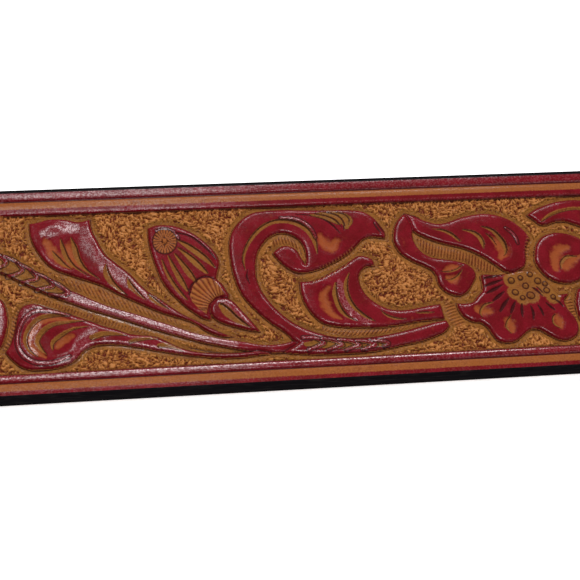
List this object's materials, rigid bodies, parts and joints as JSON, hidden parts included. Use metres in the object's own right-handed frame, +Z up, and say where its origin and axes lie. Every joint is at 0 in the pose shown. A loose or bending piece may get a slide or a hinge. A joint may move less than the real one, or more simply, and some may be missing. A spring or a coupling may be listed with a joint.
{
  "type": "western tooled leather belt",
  "caption": "Western leather belt laid out flat and unbuckled, its strap tooled with scrolls, leaves and flowers between plain borders, with a folded end, keeper loop and plain frame buckle.",
  "frame": {"origin": "middle of the belt's length and width, on the surface that it lies on", "axes": "+X along the strap from the buckle to the tip, +Y across the strap towards the upper border of its pattern, +Z up out of the tooled face"},
  "size_m": [1.12, 0.053, 0.0169],
  "materials": {
    "tooled_leather": "tooled, antiqued in dark red over tan, waxed to a soft gloss, with black painted edges",
    "keeper_leather": "smooth dark red leather, waxed",
    "buckle_metal": "plain satin metal"
  },
  "bodies": {
    "root": {"strap_end": "tooled_leather", "strap": "tooled_leather", "keeper": "keeper_leather", "buckle": "buckle_metal", "post_front": "buckle_metal", "post_back": "buckle_metal"}
  },
  "joints": []
}
